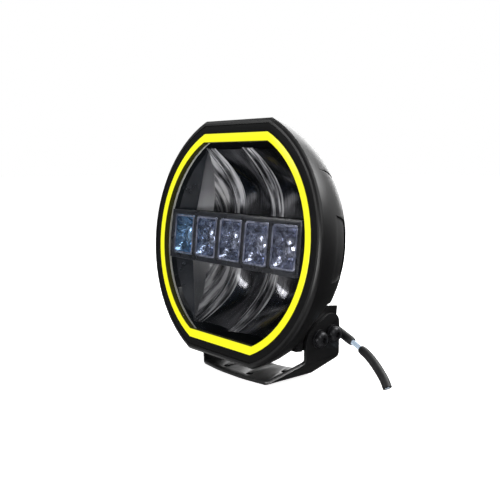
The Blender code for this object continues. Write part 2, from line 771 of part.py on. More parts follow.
def lock_slot(side):
    """The lock bolt's arc slot about the pivot, as long as the lamp's travel."""
    reach = math.hypot(LOCK_BACK, LOCK_RISE)
    middle = math.atan2(LOCK_RISE, LOCK_BACK)
    half = BOLT_RADIUS + GAP
    span = TILT_RANGE + SLOT_SPARE
    points = []
    for i in range(9):
        angle = middle - span + 2 * span * i / 8
        points.append(((reach + half) * math.cos(angle), (reach + half) * math.sin(angle)))
    for end in (1, -1):
        angle = middle + end * span
        centre = (reach * math.cos(angle), reach * math.sin(angle))
        if end == -1:
            for i in range(9):
                a = middle + span - 2 * span * i / 8
                points.append(((reach - half) * math.cos(a), (reach - half) * math.sin(a)))
        for i in range(1, 6):
            turn = angle + end * math.pi * i / 6 if end == 1 else angle + math.pi + math.pi * i / 6
            points.append((centre[0] + half * math.cos(turn), centre[1] + half * math.sin(turn)))
    xs = (side * (ARM_OUTER - PLATE - PAST), side * (ARM_OUTER + PAST))
    return loft([[Vector((x, PIVOT_Y + y, PIVOT_Z + z)) for y, z in points] for x in xs])


def make_bracket(paint):
    """Bent plate: flat base, two slanted corners that sweep back, and two upright arms."""
    half = []
    for x, z, nx, nz in bracket_path():
        front, rear = edge_at(x, z)
        half.append((x, z, nx, nz, front, rear))
    for z, front, rear in arm_head():
        half.append((ARM_OUTER, z, 1.0, 0.0, front, rear))
    mirrored = [(-x, z, -nx, nz, front, rear) for x, z, nx, nz, front, rear in half[::-1]]
    rings = []
    for x, z, nx, nz, front, rear in mirrored + half:
        inner_x, inner_z = x - nx * PLATE, z - nz * PLATE
        rings.append([
            Vector((x, front, z)),
            Vector((x, rear, z)),
            Vector((inner_x, rear, inner_z)),
            Vector((inner_x, front, inner_z)),
        ])
    bracket = add_object("bracket", loft(rings), paint)
    holes = [(0, BASE_HOLE_Y, BASE_HOLE_RADIUS)]
    for name, side in SIDES:
        holes.append((side * SIDE_HOLE_X, BASE_HOLE_Y, SIDE_HOLE_RADIUS))
        holes.append((side * FRONT_HOLE_X, FRONT_HOLE_Y, SIDE_HOLE_RADIUS))
    for x, y, radius in holes:
        cut(bracket, turned((x, y, -PAST), "Z", ((0, radius), (PLATE + 2 * PAST, radius)), 24))
    for name, side in SIDES:
        start = side * (ARM_OUTER - PLATE - PAST)
        hole = BOLT_RADIUS + GAP
        through = side * (PLATE + 2 * PAST)
        cut(bracket, turned((start, PIVOT_Y, PIVOT_Z), "X", ((0, hole), (through, hole)), 24))
        cut(bracket, lock_slot(side))


def make_bolts(steel, washer_steel):
    """On each side the pivot bolt and the lock bolt, each with a washer; they turn with the lamp."""
    for side_name, side in SIDES:
        for name, (back, drop) in (("pivot", pivot_place()), ("lock", lock_place())):
            face = ARM_OUTER + GAP
            washer = washer_solid(
                (side * face, back, drop), "X", WASHER_RADIUS, BOLT_RADIUS + GAP, side * WASHER_THICKNESS)
            add_lamp_object(f"{name}_washer_{side_name}", washer, washer_steel)
            head = face + WASHER_THICKNESS + GAP
            tip = ARM_OUTER - PLATE - BOLT_REACH
            profile = [
                (tip, BOLT_RADIUS - BOLT_CHAMFER),
                (tip + BOLT_CHAMFER, BOLT_RADIUS),
                (head, BOLT_RADIUS),
                (head, BOLT_HEAD_RADIUS),
            ]
            for i in range(6):
                angle = HEAD_DOME * i / 5
                rise = math.sin(angle) / math.sin(HEAD_DOME)
                width = (math.cos(angle) - math.cos(HEAD_DOME)) / (1 - math.cos(HEAD_DOME))
                profile.append((
                    head + HEAD_RIM + (BOLT_HEAD_HEIGHT - HEAD_RIM) * rise,
                    BOLT_HEAD_RADIUS * (HEAD_CROWN + (1 - HEAD_CROWN) * width),
                ))
            solid = turned((0, back, drop), "X", [(side * along, radius) for along, radius in profile], 28)
            bolt = add_lamp_object(f"{name}_bolt_{side_name}", solid, steel)
            socket = head + BOLT_HEAD_HEIGHT - HEX_DEPTH
            depth = side * (HEX_DEPTH + PAST)
            cut(bolt, turned((side * socket, back, drop), "X", ((0, HEX_RADIUS), (depth, HEX_RADIUS)), 6))


# ---------------------------------------------------------------- cable

def world_point(x, back, up):
    """A point of the lamp's frame in the bracket's frame."""
    y, z = back - PIVOT_BACK, up + PIVOT_DROP
    c, s = math.cos(TILT), math.sin(TILT)
    return Vector((x, PIVOT_Y + y * c + z * s, PIVOT_Z - y * s + z * c))


CABLE_START = world_point(ENTRY_X + GLAND_LENGTH + GLAND_NUT_LENGTH + 3 * GAP, ENTRY_Y, ENTRY_Z)
"""Where the cable leaves the gland nut, pointing along +X."""

CABLE_ROUTE = (
    (0.0000, 0.0000, 0.000),
    (0.0090, 0.0000, 0.025),
    (0.0156, -0.0001, 0.066),
    (0.0224, -0.0001, 0.132),
    (0.0324, -0.0004, 0.222),
    (0.0411, -0.0008, 0.302),
    (0.0517, -0.0015, 0.403),
    (0.0608, -0.0023, 0.503),
    (0.0687, -0.0033, 0.627),
    (0.0759, -0.0047, 0.760),
    (0.0811, -0.0059, 0.868),
    (0.0857, -0.0074, 1.000),
)
"""The cable's line from CABLE_START to its cut end: out, across, and the share of the drop."""

CABLE_END_HEIGHT = 0.0034
UPPER_SLEEVE_END = 0.44
BARE_CORE_END = 0.56


def smooth_points(points, count):
    """Points at equal steps along a smooth curve through the route's own points."""
    fine = []
    n = len(points)
    for i in range(n - 1):
        p0 = points[max(i - 1, 0)]
        p1 = points[i]
        p2 = points[i + 1]
        p3 = points[min(i + 2, n - 1)]
        for k in range(12):
            t = k / 12
            fine.append(0.5 * (
                2 * p1 + (p2 - p0) * t + (2 * p0 - 5 * p1 + 4 * p2 - p3) * t * t
                + (3 * p1 - 3 * p2 + p3 - p0) * t * t * t))
    fine.append(points[-1])
    lengths = [0.0]
    for a, b in zip(fine, fine[1:]):
        lengths.append(lengths[-1] + (b - a).length)
    even = []
    j = 0
    for i in range(count):
        want = lengths[-1] * i / (count - 1)
        while j < len(lengths) - 2 and lengths[j + 1] < want:
            j += 1
        span = lengths[j + 1] - lengths[j]
        even.append(fine[j].lerp(fine[j + 1], (want - lengths[j]) / span))
    return even


def cable_piece(name, points, radius, material):
    """A stretch of the cable: a bevelled curve with filled caps."""
    curve = bpy.data.curves.new(name, "CURVE")
    curve.dimensions = "3D"
    curve.bevel_depth = radius
    curve.bevel_resolution = 2
    curve.use_fill_caps = True
    spline = curve.splines.new("POLY")
    spline.points.add(len(points) - 1)
    for place, point in zip(spline.points, points):
        place.co = (*point, 1.0)
    item = bpy.data.objects.new(name, curve)
    bpy.context.collection.objects.link(item)
    own = material.copy()
    own.name = name
    curve.materials.append(own)


def make_cable(rubber, core_skin):
    """Gland and nut on the heat sink's entry block, and the cable in three stretches."""
    start = ENTRY_X + GAP
    add_lamp_object("cable_gland", turned((start, ENTRY_Y, ENTRY_Z), "X", (
        (0, GLAND_RADIUS),
        (GLAND_LENGTH, GLAND_RADIUS),
    ), 6), rubber)
    start += GLAND_LENGTH + GAP
    add_lamp_object("gland_nut", turned((start, ENTRY_Y, ENTRY_Z), "X", (
        (0, GLAND_NUT_RADIUS),
        (GLAND_NUT_LENGTH - GLAND_NUT_DOME, GLAND_NUT_RADIUS),
        (GLAND_NUT_LENGTH, GLAND_NUT_MOUTH),
    ), 24), rubber)
    drop = CABLE_START.z - CABLE_END_HEIGHT
    route = [CABLE_START + Vector((out, across, -share * drop)) for out, across, share in CABLE_ROUTE]
    count = 31
    points = smooth_points(route, count)
    first = round(UPPER_SLEEVE_END * (count - 1))
    second = round(BARE_CORE_END * (count - 1))
    stretches = (
        ("cable_sleeve_upper", points[:first + 1], SLEEVE_RADIUS, rubber),
        ("cable_core", points[first:second + 1], CORE_RADIUS, core_skin),
        ("cable_sleeve_lower", points[second:], SLEEVE_RADIUS, rubber),
    )
    for name, stretch, radius, material in stretches:
        way_in = (stretch[1] - stretch[0]).normalized()
        way_out = (stretch[-1] - stretch[-2]).normalized()
        stretch = [stretch[0] + way_in * GAP / 2] + stretch[1:-1] + [stretch[-1] - way_out * GAP / 2]
        cable_piece(name, stretch, radius, material)


# ---------------------------------------------------------------- assembly

def main():
    clear_scene()
    tilt = bpy.data.objects.new("lamp_tilt", None)
    bpy.context.collection.objects.link(tilt)
    tilt.location = (0, PIVOT_Y, PIVOT_Z)
    tilt.rotation_euler = (-TILT, 0, 0)

    paint = make_material("powder_coat", (0.020, 0.020, 0.022), 0.45)
    black = make_material("black_plastic", (0.012, 0.012, 0.013), 0.35)
    rubber = make_material("rubber", (0.015, 0.015, 0.015), 0.7)
    amber = make_material("amber_guide", (1.0, 0.85, 0.02), 0.35)
    clear = make_material("clear_plastic", (0.75, 0.78, 0.85), 0.08)
    board = make_material("circuit_board", (0.70, 0.70, 0.68), 0.5)
    chip = make_material("led_phosphor", (0.95, 0.80, 0.20), 0.5)
    chrome = make_material("dark_chrome", (0.22, 0.22, 0.24), 0.10, 1.0)
    alloy = make_material("cast_alloy", (0.028, 0.028, 0.030), 0.5)
    steel = make_material("black_steel", (0.022, 0.022, 0.023), 0.35, 0.6)
    core_skin = make_material("grey_core", (0.45, 0.50, 0.56), 0.4)

    make_housing(paint)
    make_front(black, rubber, amber, clear, board)
    make_optic_bar(black, clear, board, chip, alloy)
    make_reflector("upper_reflector", 1, chrome)
    make_reflector("lower_reflector", -1, chrome)
    make_heat_sink(alloy, steel, rubber, board)
    make_bracket(paint)
    make_bolts(steel, steel)
    make_cable(rubber, core_skin)


main()
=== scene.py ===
import math

import bpy
from mathutils import Matrix, Vector


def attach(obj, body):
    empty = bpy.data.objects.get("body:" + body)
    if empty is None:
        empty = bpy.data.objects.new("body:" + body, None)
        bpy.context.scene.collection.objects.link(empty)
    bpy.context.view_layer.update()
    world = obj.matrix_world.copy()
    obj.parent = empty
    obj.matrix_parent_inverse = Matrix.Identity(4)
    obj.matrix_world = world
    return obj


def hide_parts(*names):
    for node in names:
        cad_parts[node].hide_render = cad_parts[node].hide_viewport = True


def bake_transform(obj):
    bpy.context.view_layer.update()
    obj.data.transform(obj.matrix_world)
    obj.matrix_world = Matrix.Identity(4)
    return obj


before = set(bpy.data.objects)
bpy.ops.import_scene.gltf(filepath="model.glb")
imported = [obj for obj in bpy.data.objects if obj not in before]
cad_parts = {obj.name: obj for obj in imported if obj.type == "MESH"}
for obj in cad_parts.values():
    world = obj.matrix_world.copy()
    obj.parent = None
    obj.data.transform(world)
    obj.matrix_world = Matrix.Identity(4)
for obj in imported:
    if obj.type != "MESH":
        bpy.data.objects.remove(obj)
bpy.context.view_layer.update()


# Camera. A short portrait lens a little above the lamp, to its right, looking level with the ring.
camera_data = bpy.data.cameras.new("camera")
camera_data.lens = 50.77
camera_data.sensor_width = 36.0
camera_data.clip_start = 0.01
camera = bpy.data.objects.new("camera", camera_data)
bpy.context.scene.collection.objects.link(camera)
camera.location = (0.478815, -0.410701, 0.191459)
camera_azimuth = math.radians(49.4176)
camera_elevation = math.radians(7.2663)
camera.rotation_euler = (math.pi / 2 - camera_elevation, 0.0, camera_azimuth)
bpy.context.scene.camera = camera


# Studio. A white paper floor in a pale room. Five softboxes light the black paint, and eight soft
# cards round the room, which the camera can't see, give the metal and the gloss their highlights.
def linear(hex_colour):
    """An sRGB hex colour as the linear RGBA that sockets take."""
    parts = [int(hex_colour[i:i + 2], 16) / 255 for i in (1, 3, 5)]
    return [c / 12.92 if c <= 0.04045 else ((c + 0.055) / 1.055) ** 2.4 for c in parts] + [1.0]


def add_node(tree, kind, settings=None, links=None):
    """Adds a node, sets its properties and input values, and links its inputs to other sockets."""
    node = tree.nodes.new(kind)
    for name, value in (settings or {}).items():
        if name in node.inputs:
            node.inputs[name].default_value = value
        else:
            setattr(node, name, value)
    for name, source in (links or {}).items():
        tree.links.new(source, node.inputs[name])
    return node


def new_material(name):
    """An empty node material with its Principled shader joined to the output."""
    material = bpy.data.materials.new(name)
    material.use_nodes = True
    tree = material.node_tree
    tree.nodes.clear()
    shader = add_node(tree, "ShaderNodeBsdfPrincipled")
    add_node(tree, "ShaderNodeOutputMaterial", links={"Surface": shader.outputs["BSDF"]})
    return material, tree, shader


def set_stops(ramp_node, stops):
    """Gives a colour ramp these (place, hex colour) stops."""
    ramp = ramp_node.color_ramp
    while len(ramp.elements) > 1:
        ramp.elements.remove(ramp.elements[-1])
    ramp.elements[0].position, ramp.elements[0].color = stops[0][0], linear(stops[0][1])
    for place, hex_colour in stops[1:]:
        ramp.elements.new(place).color = linear(hex_colour)


def deselect_all():
    """Leaves nothing selected, so that the next operator acts on its own piece alone."""
    for item in bpy.context.selected_objects:
        item.select_set(False)


bpy.context.scene.view_settings.view_transform = "Standard"

world = bpy.data.worlds.new("white_backdrop")
world.use_nodes = True
tree = world.node_tree
tree.nodes.clear()
way = add_node(tree, "ShaderNodeTexCoord")
ROOM_GLOW = 0.035
CARD_CORE = 0.35
# Each card's direction, how many degrees it spreads from its middle, and its strength
CARDS = (
    ((0.65, -0.20, -0.73), 34.0, 0.55),
    ((0.70, -0.10, 0.70), 32.0, 0.45),
    ((-0.78, -0.22, -0.56), 30.0, 0.75),
    ((-0.78, -0.18, 0.58), 30.0, 0.75),
    ((-0.45, -0.87, -0.20), 19.0, 0.55),
    ((-0.45, -0.86, 0.26), 18.0, 0.50),
    ((-0.10, 0.85, 0.50), 45.0, 0.55),
    ((0.10, 0.10, 1.00), 50.0, 0.30),
)
total = add_node(tree, "ShaderNodeValue")
total.outputs[0].default_value = ROOM_GLOW
for direction, spread, strength in CARDS:
    toward = add_node(tree, "ShaderNodeVectorMath", {"operation": "DOT_PRODUCT"},
                      {0: way.outputs["Generated"]})
    toward.inputs[1].default_value = Vector(direction).normalized()
    card = add_node(tree, "ShaderNodeMapRange",
                    {"From Min": math.cos(math.radians(spread)),
                     "From Max": math.cos(math.radians(spread * CARD_CORE)),
                     "To Min": 0.0, "To Max": strength, "interpolation_type": "SMOOTHSTEP"},
                    {"Value": toward.outputs["Value"]})
    total = add_node(tree, "ShaderNodeMath", {"operation": "ADD"},
                     {0: total.outputs[0], 1: card.outputs["Result"]})
ray = add_node(tree, "ShaderNodeLightPath")
room = add_node(tree, "ShaderNodeBackground", {"Color": linear("#FFFFFF")},
                {"Strength": total.outputs[0]})
backdrop = add_node(tree, "ShaderNodeBackground", {"Color": linear("#FFFFFF"), "Strength": 1.0})
seen = add_node(tree, "ShaderNodeMixShader",
                links={0: ray.outputs["Is Camera Ray"], 1: room.outputs["Background"],
                       2: backdrop.outputs["Background"]})
add_node(tree, "ShaderNodeOutputWorld", links={"Surface": seen.outputs["Shader"]})
bpy.context.scene.world = world

deselect_all()
bpy.ops.mesh.primitive_plane_add(size=14.0, location=(0.0, 0.0, -0.0004))
floor = bpy.context.active_object
floor.name = "floor"
paper, tree, shader = new_material("white_paper")
shader.inputs["Base Color"].default_value = linear("#F2F2F2")
shader.inputs["Roughness"].default_value = 0.9
shader.inputs["Emission Color"].default_value = linear("#FFFFFF")
shader.inputs["Emission Strength"].default_value = 0.85
floor.data.materials.append(paper)
floor.visible_glossy = False

# Each softbox's place, its width and height, and its power in watts
LAMP_MIDDLE = Vector((0, 0, 0.12))
SOFTBOXES = (
    ("softbox_top", (0.55, 0.75, 0.95), (0.7, 0.7), 14.0),
    ("softbox_back", (-0.55, 0.9, 0.55), (0.5, 0.9), 6.0),
    ("softbox_right", (1.0, -0.35, 0.75), (0.35, 0.5), 3.5),
    ("softbox_front", (-0.55, -0.95, 0.65), (0.45, 0.35), 3.0),
    ("softbox_low", (0.35, -1.25, 0.09), (0.5, 0.16), 9.0),
)
for name, place, size, power in SOFTBOXES:
    light = bpy.data.lights.new(name, "AREA")
    light.shape = "RECTANGLE"
    light.size, light.size_y = size
    light.energy = power
    holder = bpy.data.objects.new(name, light)
    bpy.context.scene.collection.objects.link(holder)
    holder.location = place
    holder.rotation_euler = (LAMP_MIDDLE - Vector(place)).to_track_quat("-Z", "Y").to_euler()


# Cable. A round lead: a pale core that shows for a short way between two black rubber sleeves.
# It leaves the nut on the heat sink's entry block and droops until its cut end rests on the ground.
SLEEVE_RADIUS = 0.0040
SLEEVE_END_ROUND = 0.0006
CORE_RADIUS = 0.0023
CABLE_POINTS = 37
SLEEVE_END, BARE_END = 16, 20
LOW_END_HEIGHT = 0.0034
MERGE_WITHIN = 0.00001
cable_exit = Vector((0.036900, 0.052289, 0.045456))
cable_drop = cable_exit.z - LOW_END_HEIGHT
# Steps to the right and back in metres, and the share of the drop that has been taken
CABLE_ROUTE = (
    (0.0000, 0.0000, 0.000), (0.0090, 0.0000, 0.025), (0.0156, -0.0001, 0.066),
    (0.0224, -0.0001, 0.132), (0.0324, -0.0004, 0.222), (0.0411, -0.0008, 0.302),
    (0.0517, -0.0015, 0.403), (0.0608, -0.0023, 0.503), (0.0687, -0.0033, 0.627),
    (0.0759, -0.0047, 0.760), (0.0811, -0.0059, 0.868), (0.0857, -0.0074, 1.000),
)


def smooth_line(points, count, fine=20):
    """Points at equal steps along a smooth curve through the given ones, and its length."""
    dense = []
    for i in range(len(points) - 1):
        before, start = points[max(i - 1, 0)], points[i]
        end, after = points[i + 1], points[min(i + 2, len(points) - 1)]
        for step in range(fine):
            t = step / fine
            dense.append(0.5 * (2 * start + (end - before) * t
                                + (2 * before - 5 * start + 4 * end - after) * t * t
                                + (3 * start - before - 3 * end + after) * t ** 3))
    dense.append(points[-1])
    travelled = [0.0]
    for a, b in zip(dense, dense[1:]):
        travelled.append(travelled[-1] + (b - a).length)
    line, k = [], 0
    for i in range(count):
        wanted = travelled[-1] * i / (count - 1)
        while k < len(dense) - 2 and travelled[k + 1] < wanted:
            k += 1
        share = (wanted - travelled[k]) / max(travelled[k + 1] - travelled[k], 1e-12)
        line.append(dense[k].lerp(dense[k + 1], min(share, 1.0)))
    return line, travelled[-1]


def tube(name, line, radii, sides=24):
    """A closed tube along a line, with a radius for each of its points."""
    verts, faces = [], []
    up = Vector((0, 1, 0))
    for i, point in enumerate(line):
        ahead = (line[min(i + 1, len(line) - 1)] - line[max(i - 1, 0)]).normalized()
        across = ahead.cross(up).normalized()
        over = across.cross(ahead)
        for k in range(sides):
            turn = 2 * math.pi * k / sides
            verts.append(point + (across * math.cos(turn) + over * math.sin(turn)) * radii[i])
    for i in range(len(line) - 1):
        for k in range(sides):
            a, b = i * sides + k, i * sides + (k + 1) % sides
            faces.append((a, a + sides, b + sides, b))
    faces.append(tuple(range(sides)))
    faces.append(tuple(len(verts) - 1 - k for k in range(sides)))
    mesh = bpy.data.meshes.new(name)
    mesh.from_pydata(verts, [], faces)
    piece = bpy.data.objects.new(name, mesh)
    bpy.context.scene.collection.objects.link(piece)
    finish_mesh(piece)
    return piece


def finish_mesh(piece, angle=32.0):
    """Closes the mesh's doubles, turns its faces outwards and shades it smooth up to an angle."""
    deselect_all()
    bpy.context.view_layer.objects.active = piece
    piece.select_set(True)
    bpy.ops.object.mode_set(mode="EDIT")
    bpy.ops.mesh.select_all(action="SELECT")
    bpy.ops.mesh.remove_doubles(threshold=MERGE_WITHIN)
    bpy.ops.mesh.normals_make_consistent(inside=False)
    bpy.ops.object.mode_set(mode="OBJECT")
    bpy.ops.object.shade_smooth_by_angle(angle=math.radians(angle))
    piece.select_set(False)


def give(piece, material):
    """The material in place of whatever the piece wears."""
    piece.data.materials.clear()
    piece.data.materials.append(material)


# EPDM sleeve, extruded: dull black, with dust in 4 mm clouds that greys and roughens it a little
sleeve_rubber, tree, shader = new_material("extruded_rubber")
place = add_node(tree, "ShaderNodeTexCoord")
dust = add_node(tree, "ShaderNodeTexNoise", {"Scale": 260.0, "Detail": 4.0},
                {"Vector": place.outputs["Object"]})
shade = add_node(tree, "ShaderNodeValToRGB", links={"Fac": dust.outputs["Fac"]})
set_stops(shade, ((0.30, "#0C0C0D"), (0.75, "#1B1B1D")))
rub = add_node(tree, "ShaderNodeMapRange", {"To Min": 0.42, "To Max": 0.60},
               {"Value": dust.outputs["Fac"]})
grain = add_node(tree, "ShaderNodeBump", {"Strength": 0.12, "Distance": 0.0002},
                 {"Height": dust.outputs["Fac"]})
tree.links.new(shade.outputs["Color"], shader.inputs["Base Color"])
tree.links.new(rub.outputs["Result"], shader.inputs["Roughness"])
tree.links.new(grain.outputs["Normal"], shader.inputs["Normal"])

# PVC core, extruded: pale blue-grey and fairly glossy, uneven over 6 mm
core_vinyl, tree, shader = new_material("extruded_vinyl")
place = add_node(tree, "ShaderNodeTexCoord")
streak = add_node(tree, "ShaderNodeTexNoise", {"Scale": 180.0, "Detail": 3.0},
                  {"Vector": place.outputs["Object"]})
shade = add_node(tree, "ShaderNodeValToRGB", links={"Fac": streak.outputs["Fac"]})
set_stops(shade, ((0.25, "#8FA3B8"), (0.80, "#C3CFDA")))
tree.links.new(shade.outputs["Color"], shader.inputs["Base Color"])
shader.inputs["Roughness"].default_value = 0.32

cable_line, cable_length = smooth_line(
    [cable_exit + Vector((right, back, -fall * cable_drop)) for right, back, fall in CABLE_ROUTE],
    CABLE_POINTS)
cable_core = tube("cable_core_full", cable_line, [CORE_RADIUS] * len(cable_line))
upper_line = cable_line[:SLEEVE_END + 1]
upper_radii = [SLEEVE_RADIUS] * len(upper_line)
upper_radii[-1] = SLEEVE_RADIUS - SLEEVE_END_ROUND
sleeve_upper = tube("cable_sleeve_near", upper_line, upper_radii)
lower_line = cable_line[BARE_END:]
lower_radii = [SLEEVE_RADIUS] * len(lower_line)
lower_radii[0] = SLEEVE_RADIUS - SLEEVE_END_ROUND
sleeve_lower = tube("cable_sleeve_far", lower_line, lower_radii)
for piece, node, finish, material in (
    (cable_core, "cable_core", "cable_core_skin", core_vinyl),
    (sleeve_upper, "cable_sleeve_upper", "cable_sleeve", sleeve_rubber),
    (sleeve_lower, "cable_sleeve_lower", "cable_sleeve", sleeve_rubber),
):
    give(piece, material)
    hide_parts(node)
    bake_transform(piece)


# Bracket. 3 mm steel plate, punched, bent up in a press and powder coated in satin black.
# The coat rounds the punched edges a little, and its top side catches the light as a dull grey.
FLAT_WITHIN = math.radians(0.6)


def powder_coat(name, dark, pale, low, high, peel_mm=1.1):
    """Satin powder coat, uneven over 36 mm: peel_mm is one pit of its orange peel, drawn coarse."""
    material, tree, shader = new_material(name)
    place = add_node(tree, "ShaderNodeTexCoord")
    peel = add_node(tree, "ShaderNodeTexNoise", {"Scale": 1000.0 / peel_mm, "Detail": 1.0},
                    {"Vector": place.outputs["Object"]})
    cloud = add_node(tree, "ShaderNodeTexNoise", {"Scale": 28.0, "Detail": 3.0},
                     {"Vector": place.outputs["Object"]})
    shade = add_node(tree, "ShaderNodeValToRGB", links={"Fac": cloud.outputs["Fac"]})
    set_stops(shade, ((0.3, dark), (0.75, pale)))
    rub = add_node(tree, "ShaderNodeMapRange", {"To Min": low, "To Max": high},
                   {"Value": cloud.outputs["Fac"]})
    grain = add_node(tree, "ShaderNodeBump", {"Strength": 0.10, "Distance": 0.0001},
                     {"Height": peel.outputs["Fac"]})
    tree.links.new(shade.outputs["Color"], shader.inputs["Base Color"])
    tree.links.new(rub.outputs["Result"], shader.inputs["Roughness"])
    tree.links.new(grain.outputs["Normal"], shader.inputs["Normal"])
    return material


def refined(node_name, name, bevel=0.0, body="lamp", angle=34.0):
    """A copy of a CAD node, its triangles merged, its edges rounded by bevel, and shaded smooth."""
    piece = bpy.data.objects.new(name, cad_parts[node_name].data.copy())
    bpy.context.scene.collection.objects.link(piece)
    deselect_all()
    bpy.context.view_layer.objects.active = piece
    piece.select_set(True)
    bpy.ops.object.mode_set(mode="EDIT")
    bpy.ops.mesh.select_all(action="SELECT")
    bpy.ops.mesh.remove_doubles(threshold=MERGE_WITHIN)
    bpy.ops.mesh.dissolve_limited(angle_limit=FLAT_WITHIN)
    bpy.ops.object.mode_set(mode="OBJECT")
    if bevel:
        rounding = piece.modifiers.new("rounding", "BEVEL")
        rounding.width = bevel
        rounding.segments = 2
        rounding.limit_method = "ANGLE"
        rounding.angle_limit = math.radians(angle)
        bpy.ops.object.modifier_apply(modifier="rounding")
    bpy.ops.object.shade_smooth_by_angle(angle=math.radians(angle))
    piece.select_set(False)
    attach(piece, body)
    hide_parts(node_name)
    return piece


bracket_coat = powder_coat("powder_coated_steel", "#080809", "#0E0E0F", 0.30, 0.42)
bracket = refined("bracket", "swept_bracket", 0.0005, "bracket")
give(bracket, bracket_coat)


# Pivot and lock bolts. M8 button heads with hexagon sockets, and washers, in black oxide steel.
# The oxide is thin and oily: nearly black, patchy over 2 mm, with a soft metal shine on the domes.
black_oxide, tree, shader = new_material("black_oxide_steel")
place = add_node(tree, "ShaderNodeTexCoord")
oxide = add_node(tree, "ShaderNodeTexNoise", {"Scale": 420.0, "Detail": 4.0},
                 {"Vector": place.outputs["Object"]})
shade = add_node(tree, "ShaderNodeValToRGB", links={"Fac": oxide.outputs["Fac"]})
set_stops(shade, ((0.3, "#1A1A1C"), (0.8, "#2C2C2F")))
rub = add_node(tree, "ShaderNodeMapRange", {"To Min": 0.28, "To Max": 0.42},
               {"Value": oxide.outputs["Fac"]})
tree.links.new(shade.outputs["Color"], shader.inputs["Base Color"])
tree.links.new(rub.outputs["Result"], shader.inputs["Roughness"])
shader.inputs["Metallic"].default_value = 0.6
for post in ("pivot", "lock"):
    for side in ("left", "right"):
        bolt = refined(f"{post}_bolt_{side}", f"{post}_button_bolt_{side}", 0.0, "lamp",
                       28.0)
        give(bolt, black_oxide)
        washer = refined(f"{post}_washer_{side}", f"{post}_flat_washer_{side}", 0.0002, "lamp",
                         28.0)
        give(washer, black_oxide)


# Housing. The die-cast aluminium bowl: a straight rim, then a dome with a pocket and a slanted
# groove pressed into each side, and a lug for the bracket. Satin black powder coat.
housing_coat = powder_coat("powder_coated_aluminium", "#060607", "#0B0B0C", 0.34, 0.44)
housing = refined("housing", "cast_housing", 0.0004, "lamp", 20.0)
give(housing, housing_coat)


# Heat sink. One casting of upright fins on a plate, coated like the housing, held by four screws.
# The breather vent sits between the fins; the cable gland and its nut are on the entry block.
sink_coat = powder_coat("powder_coated_heat_sink", "#09090A", "#101011", 0.42, 0.55)
sink = refined("heat_sink", "finned_heat_sink", 0.0003, "lamp", 30.0)
give(sink, sink_coat)
for number in range(1, 5):
    screw = refined(f"sink_screw_{number}", f"heat_sink_screw_{number}", 0.0002, "lamp",
                    28.0)
    give(screw, black_oxide)

# Moulded EPDM and nylon: dull black with a matt skin, its grain drawn 1.4 mm wide so that it shows
moulded_rubber, tree, shader = new_material("moulded_rubber")
place = add_node(tree, "ShaderNodeTexCoord")
skin = add_node(tree, "ShaderNodeTexNoise", {"Scale": 700.0, "Detail": 3.0},
                {"Vector": place.outputs["Object"]})
shade = add_node(tree, "ShaderNodeValToRGB", links={"Fac": skin.outputs["Fac"]})
set_stops(shade, ((0.3, "#0E0E0F"), (0.8, "#191919")))
grain = add_node(tree, "ShaderNodeBump", {"Strength": 0.12, "Distance": 0.0001},
                 {"Height": skin.outputs["Fac"]})
tree.links.new(shade.outputs["Color"], shader.inputs["Base Color"])
tree.links.new(grain.outputs["Normal"], shader.inputs["Normal"])
shader.inputs["Roughness"].default_value = 0.6
for node_name, name in (("breather_vent", "moulded_vent"), ("cable_gland", "hexagon_gland"),
                        ("gland_nut", "domed_gland_nut"), ("lens_seal", "pressed_lens_seal")):
    piece = refined(node_name, name, 0.0003, "lamp", 28.0)
    give(piece, moulded_rubber)


# Bezel. A moulded ABS ring round the halo, spark-textured: it scatters light and looks dead black.
# The spark pits are a few hundredths of a millimetre, and are drawn 0.6 mm wide so that they show.
bezel_abs, tree, shader = new_material("spark_textured_abs")
place = add_node(tree, "ShaderNodeTexCoord")
spark = add_node(tree, "ShaderNodeTexNoise", {"Scale": 1600.0, "Detail": 2.0},
                 {"Vector": place.outputs["Object"]})
shade = add_node(tree, "ShaderNodeValToRGB", links={"Fac": spark.outputs["Fac"]})
set_stops(shade, ((0.3, "#080809"), (0.8, "#0C0C0D")))
grain = add_node(tree, "ShaderNodeBump", {"Strength": 0.2, "Distance": 0.0001},
                 {"Height": spark.outputs["Fac"]})
tree.links.new(shade.outputs["Color"], shader.inputs["Base Color"])
tree.links.new(grain.outputs["Normal"], shader.inputs["Normal"])
shader.inputs["Roughness"].default_value = 0.5
shader.inputs["Specular IOR Level"].default_value = 0.12
bezel = refined("bezel", "textured_bezel", 0.0002, "lamp", 28.0)
give(bezel, bezel_abs)


# Halo. An amber-yellow acrylic light guide, lit by the board behind it: an even, shadowless glow
# from its front face. Its sides stay dark, and neither mirrors nor paint pick its light up.
LAMP_FACES = (0.0, -0.9946, 0.1037)
lit_acrylic, tree, shader = new_material("lit_acrylic")
place = add_node(tree, "ShaderNodeTexCoord")
glow = add_node(tree, "ShaderNodeTexNoise", {"Scale": 9.0, "Detail": 1.0},
                {"Vector": place.outputs["Object"]})
shade = add_node(tree, "ShaderNodeValToRGB", links={"Fac": glow.outputs["Fac"]})
set_stops(shade, ((0.2, "#FFF500"), (0.6, "#FFFF1E")))
tree.links.new(shade.outputs["Color"], shader.inputs["Emission Color"])
turned_way = add_node(tree, "ShaderNodeVectorMath", {"operation": "DOT_PRODUCT"},
                      {0: place.outputs["Normal"]})
turned_way.inputs[1].default_value = LAMP_FACES
lit = add_node(tree, "ShaderNodeMapRange",
               {"From Min": 0.25, "From Max": 0.75, "To Min": 0.02, "To Max": 1.0},
               {"Value": turned_way.outputs["Value"]})
tree.links.new(lit.outputs["Result"], shader.inputs["Emission Strength"])
shader.inputs["Base Color"].default_value = linear("#120C02")
shader.inputs["Roughness"].default_value = 0.35
halo = refined("halo_light_guide", "lit_halo", 0.0004, "lamp", 28.0)
give(halo, lit_acrylic)
halo.visible_glossy = False
